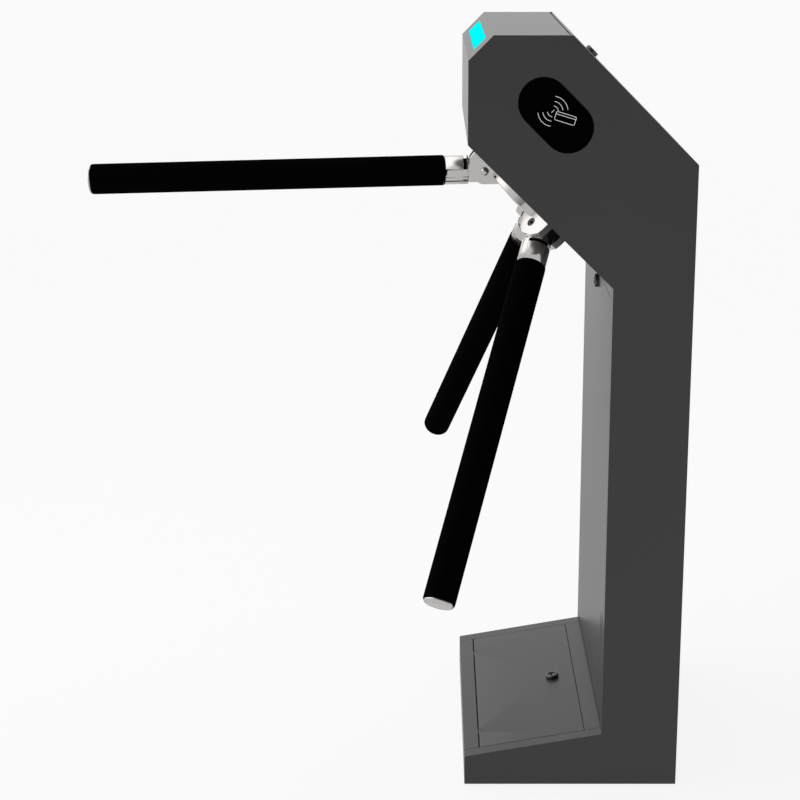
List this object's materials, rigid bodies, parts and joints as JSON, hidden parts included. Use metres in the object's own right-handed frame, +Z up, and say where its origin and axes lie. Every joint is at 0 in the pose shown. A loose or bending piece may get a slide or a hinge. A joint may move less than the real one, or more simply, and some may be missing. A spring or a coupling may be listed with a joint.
{
  "type": "tripod turnstile",
  "caption": "Slim upright tripod turnstile with card reader windows, a status lamp, hinged service covers and drop-down barrier arms, which counts and admits visitors from either side",
  "frame": {"origin": "middle of the underside of the base plate, on the floor", "axes": "+Z up, arms and passage towards -X, +Y the far side, visitors walk along Y"},
  "size_m": [0.7758, 0.7722, 0.98],
  "materials": {
    "grey_coat": "satin dark grey powder coat on sheet steel",
    "zinc_steel": "zinc-plated steel",
    "stainless": "polished stainless steel",
    "machined_steel": "machined steel",
    "brass": "machined brass",
    "dark_nickel": "dark nickel plated lock",
    "black_sleeve": "matt black sleeve",
    "dark_plastic": "moulded plastic",
    "reader_glass": "glossy black acrylic",
    "lamp_cyan": "lit cyan diffuser",
    "circuit_board": "green circuit board",
    "coil_wrap": "taped solenoid coil"
  },
  "bodies": {
    "root": {"anchor_bolt_1": "zinc_steel", "anchor_bolt_2": "zinc_steel", "anchor_bolt_3": "zinc_steel", "anchor_bolt_4": "zinc_steel", "back_panel": "grey_coat", "base_plate": "zinc_steel", "cable_gland": "dark_plastic", "column_door_pin": "machined_steel", "control_board": "circuit_board", "encoder_sensor": "dark_plastic", "far_reader_board": "circuit_board", "far_reader_window": "reader_glass", "far_side_panel": "grey_coat", "foot_front_rail": "grey_coat", "foot_lid_pin": "machined_steel", "foot_rear_strip": "grey_coat", "front_bearing": "machined_steel", "head_shell": "grey_coat", "hub_face_plate": "grey_coat", "lamp_board": "circuit_board", "lamp_window": "lamp_cyan", "lock_solenoid": "coil_wrap", "mechanism_frame": "zinc_steel", "near_reader_board": "circuit_board", "near_reader_window": "reader_glass", "near_side_panel": "grey_coat", "power_supply": "zinc_steel", "rear_bearing": "machined_steel", "rotary_damper": "dark_plastic", "slope_cover_pin": "machined_steel", "wiring_loom": "dark_plastic"},
    "hub": {"hub_head": "stainless", "hub_shaft": "machined_steel", "lock_wheel": "machined_steel", "index_cam": "machined_steel", "encoder_disc": "dark_plastic", "drive_gear": "machined_steel", "front_arm_pin": "stainless", "near_arm_pin": "stainless", "far_arm_pin": "stainless"},
    "front_arm": {"front_arm_rod": "stainless", "front_arm_sleeve": "black_sleeve", "front_arm_cap": "stainless"},
    "near_arm": {"near_arm_rod": "stainless", "near_arm_sleeve": "black_sleeve", "near_arm_cap": "stainless"},
    "far_arm": {"far_arm_rod": "stainless", "far_arm_sleeve": "black_sleeve", "far_arm_cap": "stainless"},
    "slope_cover": {"slope_cover": "grey_coat"},
    "slope_cover_lock": {"slope_cover_lock": "dark_nickel"},
    "column_door": {"column_door": "grey_coat"},
    "column_door_lock": {"column_door_lock": "dark_nickel"},
    "foot_lid": {"foot_lid": "grey_coat"},
    "foot_lid_lock": {"foot_lid_lock": "dark_nickel"},
    "lock_pawl": {"lock_pawl": "machined_steel"},
    "lock_plunger": {"lock_plunger": "machined_steel"},
    "detent_arm": {"detent_arm": "machined_steel", "detent_spring": "machined_steel"},
    "damper_pinion": {"damper_pinion": "brass"}
  },
  "joints": [
    {"name": "hub_spin", "type": "hinge", "parent": "root", "child": "hub", "pos_m": [-0.04936, 0, 0.75987], "axis": [-0.7011, 0, -0.713], "continuous": true},
    {"name": "front_arm_drop", "type": "hinge", "parent": "hub", "child": "front_arm", "pos_m": [-0.11402, 0, 0.78981], "axis": [0, -1, 0], "range_deg": [0, 88]},
    {"name": "near_arm_drop", "type": "hinge", "parent": "hub", "child": "near_arm", "pos_m": [-0.04225, -0.05811, 0.71924], "axis": [0.6175, 0.5, -0.6072], "range_deg": [0, 44]},
    {"name": "far_arm_drop", "type": "hinge", "parent": "hub", "child": "far_arm", "pos_m": [-0.04225, 0.05811, 0.71924], "axis": [-0.6175, 0.5, 0.6072], "range_deg": [0, 44]},
    {"name": "slope_cover_swing", "type": "hinge", "parent": "root", "child": "slope_cover", "pos_m": [0.136, 0, 0.82334], "axis": [0, 1, 0], "range_deg": [0, 90]},
    {"name": "slope_cover_lock_turn", "type": "hinge", "parent": "slope_cover", "child": "slope_cover_lock", "pos_m": [0.02283, 0, 0.94217], "axis": [-0.7071, 0, -0.7071], "range_deg": [0, 90]},
    {"name": "column_door_tilt", "type": "hinge", "parent": "root", "child": "column_door", "pos_m": [0.0435, 0, 0.0823], "axis": [0, -1, 0], "range_deg": [0, 8]},
    {"name": "column_door_lock_turn", "type": "hinge", "parent": "column_door", "child": "column_door_lock", "pos_m": [0.04, 0, 0.64], "axis": [1, 0, 0], "range_deg": [0, 90]},
    {"name": "foot_lid_swing", "type": "hinge", "parent": "root", "child": "foot_lid", "pos_m": [-0.11702, 0, 0.04155], "axis": [0, -1, 0], "range_deg": [0, 88]},
    {"name": "foot_lid_lock_turn", "type": "hinge", "parent": "foot_lid", "child": "foot_lid_lock", "pos_m": [-0.01159, 0, 0.06283], "axis": [0.175, 0, -0.9846], "range_deg": [0, 90]},
    {"name": "lock_pawl_swing", "type": "hinge", "parent": "root", "child": "lock_pawl", "pos_m": [-0.06041, -0.06, 0.81281], "axis": [0.7011, 0, 0.713], "range_deg": [0, 8.8]},
    {"name": "lock_plunger_slide", "type": "slide", "parent": "root", "child": "lock_plunger", "axis": [0, 1, 0], "range_m": [0, 0.0047]},
    {"name": "detent_arm_swing", "type": "hinge", "parent": "root", "child": "detent_arm", "pos_m": [0.01922, 0.066, 0.76115], "axis": [-0.7011, 0, -0.713], "range_deg": [0, 4]},
    {"name": "damper_spin", "type": "hinge", "parent": "root", "child": "damper_pinion", "pos_m": [-0.02713, 0.018, 0.73801], "axis": [-0.7011, 0, -0.713], "continuous": true}
  ],
  "couplings": [
    {"joint": "damper_spin", "follows": "hub_spin", "ratio": -2},
    {"joint": "lock_plunger_slide", "follows": "lock_pawl_swing", "m_per_rad": 0.03}
  ]
}
